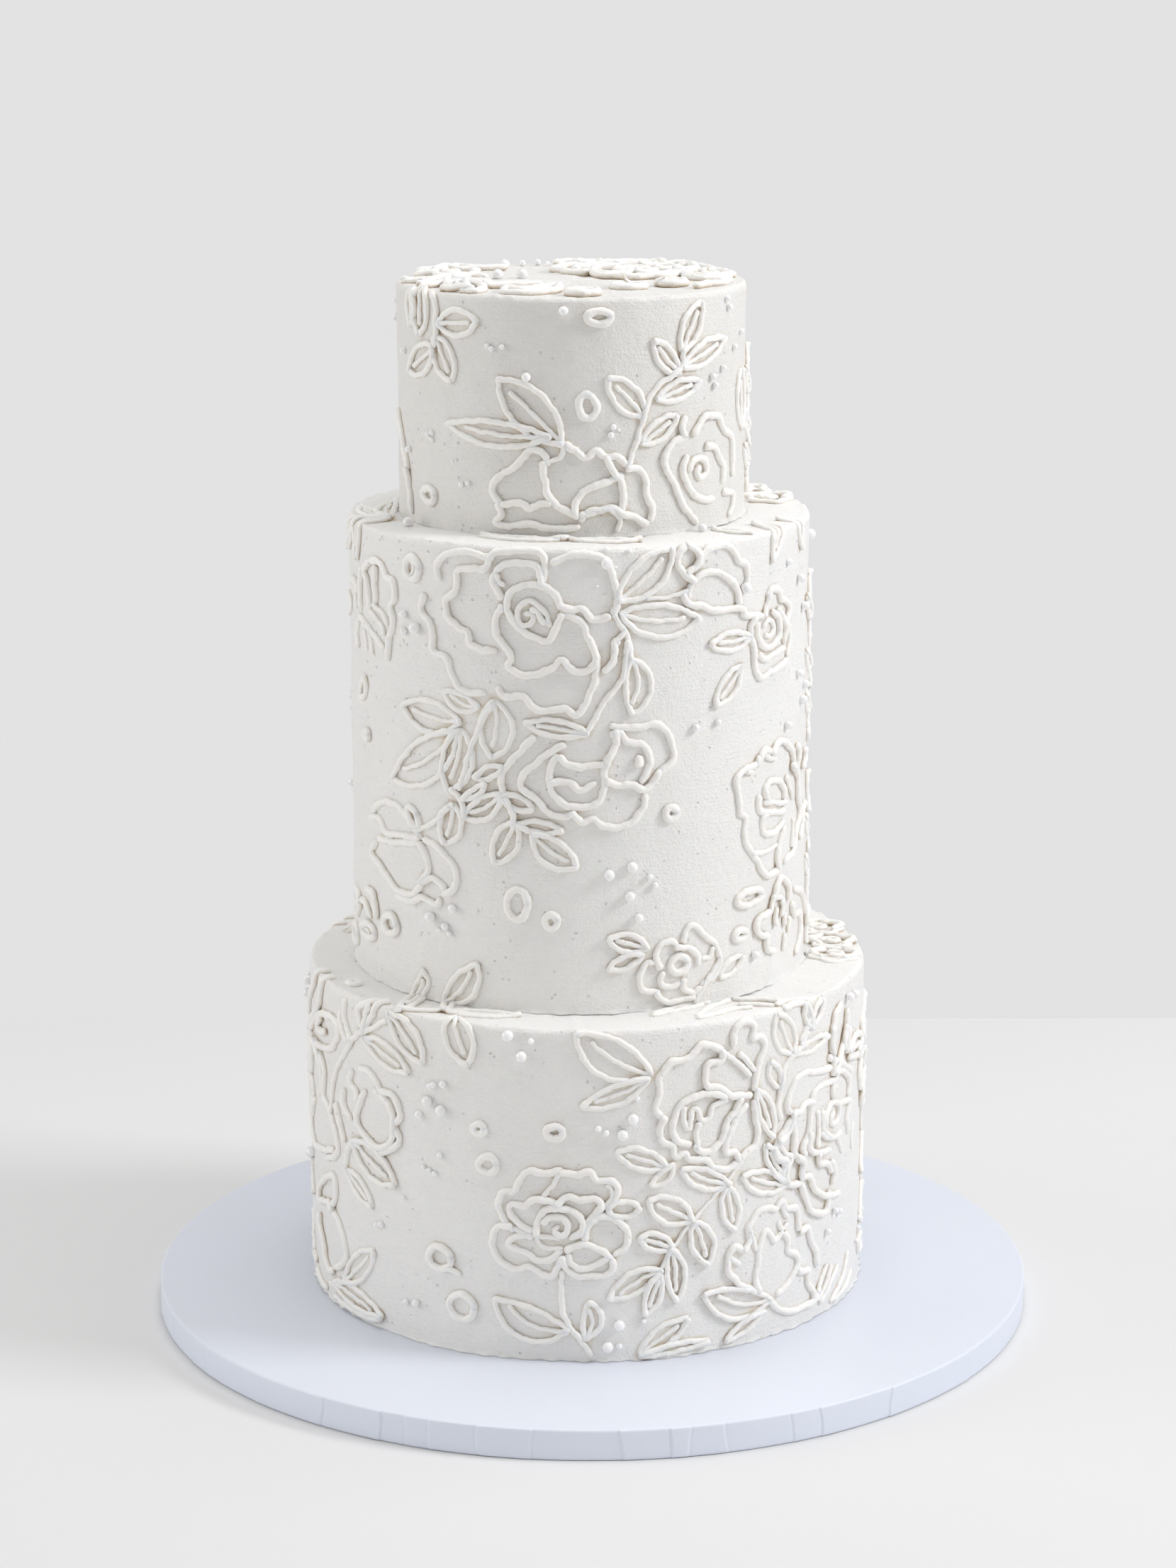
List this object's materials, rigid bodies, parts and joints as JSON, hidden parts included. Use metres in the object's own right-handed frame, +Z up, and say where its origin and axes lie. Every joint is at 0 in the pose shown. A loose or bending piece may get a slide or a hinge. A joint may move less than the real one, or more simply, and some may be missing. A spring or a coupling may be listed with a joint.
{
  "type": "wedding cake",
  "caption": "Tiered round wedding cake in smooth ivory buttercream, with piped roses, tulips and leaves and scattered sugar pearls, on its covered drum board.",
  "frame": {"origin": "centre of the board's underside", "axes": "+Z up through the tiers, -Y towards the cake's front, +X to the right of someone who faces that front"},
  "size_m": [0.4064, 0.4064, 0.4776],
  "materials": {
    "buttercream": "smooth ivory buttercream with fine scraper marks, satin",
    "board_cover": "smooth pale blue-white paper cover, folded over the board's edge",
    "sugar_pearl": "pearly white sugar glaze"
  },
  "bodies": {
    "root": {"cake_board": "board_cover", "tier_bottom": "buttercream", "tier_middle": "buttercream", "tier_top": "buttercream"}
  },
  "joints": []
}
